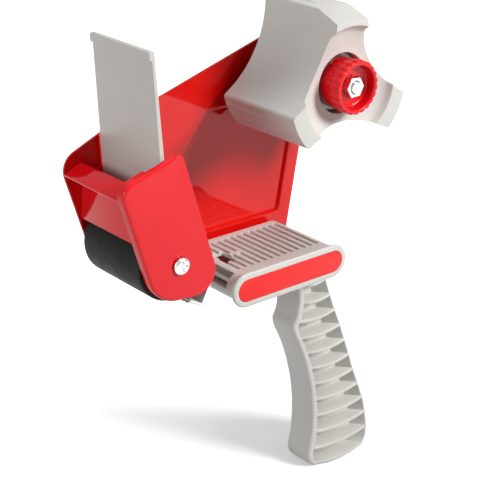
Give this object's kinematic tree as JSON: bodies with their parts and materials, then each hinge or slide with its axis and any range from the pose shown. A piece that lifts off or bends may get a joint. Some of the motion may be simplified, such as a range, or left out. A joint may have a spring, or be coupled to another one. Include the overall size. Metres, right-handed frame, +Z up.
{
  "type": "packing tape dispenser",
  "caption": "Hand-held packing tape dispenser with a pistol grip, lobed tape hub, tension knob, pressure roller, tape flap and serrated blade.",
  "frame": {"origin": "centre of the grip's flat foot, on the surface that the dispenser stands on", "axes": "+Z up from the foot, -X towards the roller and blade, -Y towards the open side with the knob, +Y towards the back of the side plate"},
  "size_m": [0.1744, 0.0708, 0.2645],
  "materials": {
    "red_paint": "glossy red enamel",
    "steel": "bright steel",
    "grey_plastic": "warm grey, moulded",
    "red_plastic": "satin red",
    "black_rubber": "matt black",
    "black_plastic": "black, moulded",
    "white_plastic": "natural white",
    "fibre": "dark fibre"
  },
  "bodies": {
    "frame": {"side_plate": "red_paint", "near_cheek": "red_paint", "head_crossbar": "red_paint", "roller_axle": "steel", "roller_screw_far": "steel", "roller_screw_near": "steel", "flap_pin": "steel", "flap_spring": "steel", "blade_holder": "steel", "blade": "steel", "blade_rivet_far": "steel", "blade_rivet_near": "steel", "grip_body": "grey_plastic", "grip_strip": "red_plastic", "grip_screw_front": "steel", "grip_screw_middle": "steel", "grip_screw_rear": "steel", "hub_stud": "steel", "stud_washer": "steel", "hub_bush": "steel", "friction_washer": "fibre"},
    "roller": {"roller_sleeve": "black_rubber", "roller_core": "black_plastic", "roller_bush_far": "white_plastic", "roller_bush_near": "white_plastic"},
    "flap": {"tape_flap": "grey_plastic"},
    "hub": {"hub_body": "grey_plastic", "tension_spring": "steel"},
    "thrust": {"thrust_washer": "steel"},
    "knob": {"tension_knob": "red_plastic", "knob_nut": "steel"}
  },
  "joints": [
    {"name": "roller_spin", "type": "hinge", "parent": "frame", "child": "roller", "pos_m": [-0.124, 0, 0.158], "axis": [0, 1, 0], "continuous": true},
    {"name": "flap_swing", "type": "hinge", "parent": "frame", "child": "flap", "pos_m": [-0.1289, 0, 0.1845], "axis": [0, 1, 0], "range_deg": [-6, 50], "stiffness_Nm_per_rad": 0.012, "deforming": ["flap_spring"]},
    {"name": "hub_spin", "type": "hinge", "parent": "frame", "child": "hub", "pos_m": [-0.023, 0, 0.2265], "axis": [0, 1, 0], "continuous": true},
    {"name": "washer_travel", "type": "slide", "parent": "frame", "child": "thrust", "axis": [0, 1, 0], "range_m": [-0.001, 0.0015], "deforming": ["tension_spring"]},
    {"name": "knob_turn", "type": "hinge", "parent": "thrust", "child": "knob", "pos_m": [-0.023, 0, 0.2265], "axis": [0, 1, 0], "range_deg": [-365, 545]}
  ],
  "couplings": [
    {"joint": "knob_turn", "follows": "washer_travel", "rad_per_m": 6283.2}
  ]
}
